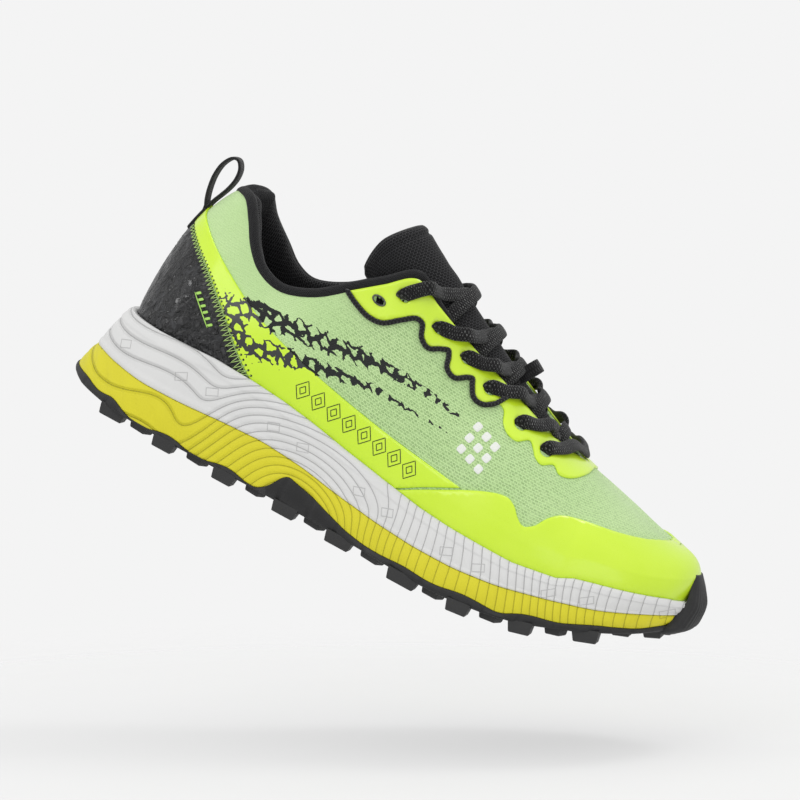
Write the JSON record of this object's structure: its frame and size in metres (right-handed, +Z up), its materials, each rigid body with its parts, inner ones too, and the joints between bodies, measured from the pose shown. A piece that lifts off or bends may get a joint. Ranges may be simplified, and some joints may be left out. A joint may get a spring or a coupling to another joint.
{
  "type": "running shoe",
  "caption": "Low-cut trail running shoe for a right foot: knit upper with film overlays, two-layer foam midsole, lugged rubber outsole, padded tongue, laces and heel pull loop.",
  "frame": {"origin": "centre of the shoe's overall footprint, on the ground plane under the lugs", "axes": "+X towards the toe, +Y towards the medial side of this right shoe, +Z up"},
  "size_m": [0.2986, 0.1112, 0.136],
  "materials": {
    "outsole_rubber": "matt moulded rubber",
    "white_foam": "matt moulded EVA foam with fine engraved lines",
    "yellow_foam": "matt moulded EVA foam with fine engraved lines",
    "lasting_board": "stitched non-woven board",
    "sock_liner": "brushed fabric on foam",
    "counter_board": "matt thermoplastic board",
    "lining_mesh": "dotted spacer mesh",
    "binding_knit": "fine stretch knit",
    "upper_knit": "fine two-tone engineered knit",
    "heel_film": "satin embossed film",
    "neon_film": "satin welded film",
    "webbing": "woven tape and cord",
    "rim_plastic": "satin moulded plastic",
    "lace_braid": "flat braid with light flecks",
    "aglet_plastic": "clear-coated plastic"
  },
  "bodies": {
    "shoe": {"outsole": "outsole_rubber", "midsole_upper": "white_foam", "midsole_lower": "yellow_foam", "strobel_board": "lasting_board", "heel_counter": "counter_board", "toe_puff": "counter_board", "collar_padding": "lining_mesh", "collar_lining": "lining_mesh", "collar_binding": "binding_knit", "upper_mesh": "upper_knit", "heel_panel": "heel_film", "foxing_lateral": "neon_film", "foxing_medial": "neon_film", "toe_overlay": "neon_film", "eyestay": "neon_film", "piping_cord_lateral": "webbing", "piping_cord_medial": "webbing", "slot_rim_lateral": "rim_plastic", "slot_rim_medial": "rim_plastic", "tongue_base": "lining_mesh", "shoe_lace": "lace_braid", "aglet_lateral": "aglet_plastic", "aglet_medial": "aglet_plastic", "lace_keeper": "webbing", "pull_loop_tape": "webbing"},
    "tongue_flap": {"tongue_top": "lining_mesh"},
    "heel_loop": {"pull_loop": "webbing"},
    "sock_liner": {"insole": "sock_liner"}
  },
  "joints": [
    {"name": "tongue_fold", "type": "hinge", "parent": "shoe", "child": "tongue_flap", "pos_m": [-0.01418, 0.00356, 0.1229], "axis": [0, 1, 0], "range_deg": [0, 50], "stiffness_Nm_per_rad": 0.05},
    {"name": "heel_loop_fold", "type": "hinge", "parent": "shoe", "child": "heel_loop", "pos_m": [-0.12758, 0.00206, 0.0982], "axis": [0, 1, 0], "range_deg": [-60, 0], "stiffness_Nm_per_rad": 0.01},
    {"name": "sock_liner_lift", "type": "hinge", "parent": "shoe", "child": "sock_liner", "pos_m": [0.13352, 0.00706, 0.041], "axis": [0, 1, 0], "range_deg": [0, 4]}
  ]
}
